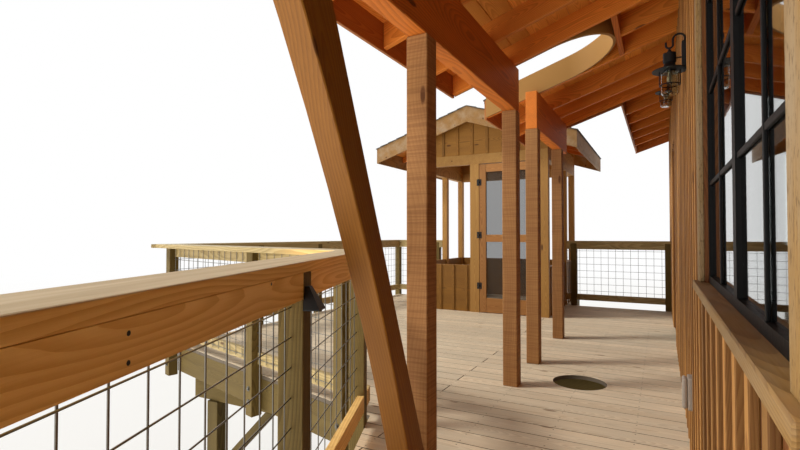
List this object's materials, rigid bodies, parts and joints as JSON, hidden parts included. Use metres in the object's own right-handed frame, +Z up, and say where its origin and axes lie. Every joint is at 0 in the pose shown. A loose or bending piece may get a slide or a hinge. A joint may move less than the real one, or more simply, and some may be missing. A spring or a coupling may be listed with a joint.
{
  "type": "tree house",
  "caption": "Timber tree house on posts: a cabin with a deep porch, a deck with wire-mesh railing, a slot for a trunk and a small gabled hut.",
  "frame": {"origin": "on the ground, under the middle of the model's bounding box", "axes": "+Z up, +Y along the cabin's ridge, +X from the deck towards the cabin"},
  "size_m": [9.844, 11.714, 6.6342],
  "materials": {
    "treated_timber": "sawn, pressure treated",
    "deck_boards": "planed, weathered",
    "floor_boards": "planed",
    "siding": "oiled cedar",
    "trim": "oiled cedar",
    "black_frame": "satin black",
    "window_glass": "clear",
    "beam_timber": "rough sawn, oiled",
    "roof_boards": "planed, oiled",
    "roofing": "satin dark",
    "fascia_boards": "planed, oiled",
    "rail_timber": "planed, weathered",
    "wire": "dull galvanised",
    "hut_cedar": "oiled cedar",
    "screen": "fine dark mesh",
    "clear_glass": "clear",
    "black_iron": "black",
    "outlet_plastic": "grey"
  },
  "bodies": {
    "house": {"support_posts": "treated_timber", "knee_braces": "treated_timber", "deck_beams": "treated_timber", "deck_joists": "treated_timber", "hole_headers": "treated_timber", "rim_joists": "treated_timber", "rail_posts": "treated_timber", "deck_floor": "deck_boards", "rail_caps": "deck_boards", "cabin_floor": "floor_boards", "front_wall": "siding", "back_wall": "siding", "near_end_wall": "siding", "far_end_wall": "siding", "wall_trim": "trim", "window_sills": "trim", "window_frames": "black_frame", "cabin_door": "black_frame", "window_glass": "window_glass", "ridge_beam": "beam_timber", "rafters": "beam_timber", "slot_header": "beam_timber", "porch_beams": "beam_timber", "porch_posts": "beam_timber", "leaning_strut": "beam_timber", "slot_lining": "roof_boards", "front_roof_boards": "roof_boards", "back_roof_boards": "roof_boards", "hut_roof_boards": "roof_boards", "front_roofing": "roofing", "back_roofing": "roofing", "hut_roofing": "roofing", "eave_fascia": "fascia_boards", "rake_boards": "fascia_boards", "hut_fascia": "fascia_boards", "top_rails": "rail_timber", "bottom_rails": "rail_timber", "near_wires": "wire", "side_wires": "wire", "end_wires": "wire", "hut_posts": "hut_cedar", "hut_plates": "hut_cedar", "hut_panels": "hut_cedar", "hut_gables": "hut_cedar", "hut_rafters": "hut_cedar", "lantern_jars": "clear_glass", "jamb_hinges": "black_iron", "lanterns": "black_iron", "rail_light": "black_iron", "outlet_cover": "outlet_plastic"},
    "door": {"hut_door": "hut_cedar", "door_screen": "screen", "door_hinges": "black_iron"}
  },
  "joints": [
    {"name": "door_hinge", "type": "hinge", "parent": "house", "child": "door", "pos_m": [-2.7245, 3.216, 4.085], "axis": [0, 0, -1], "range_deg": [0, 100]}
  ]
}
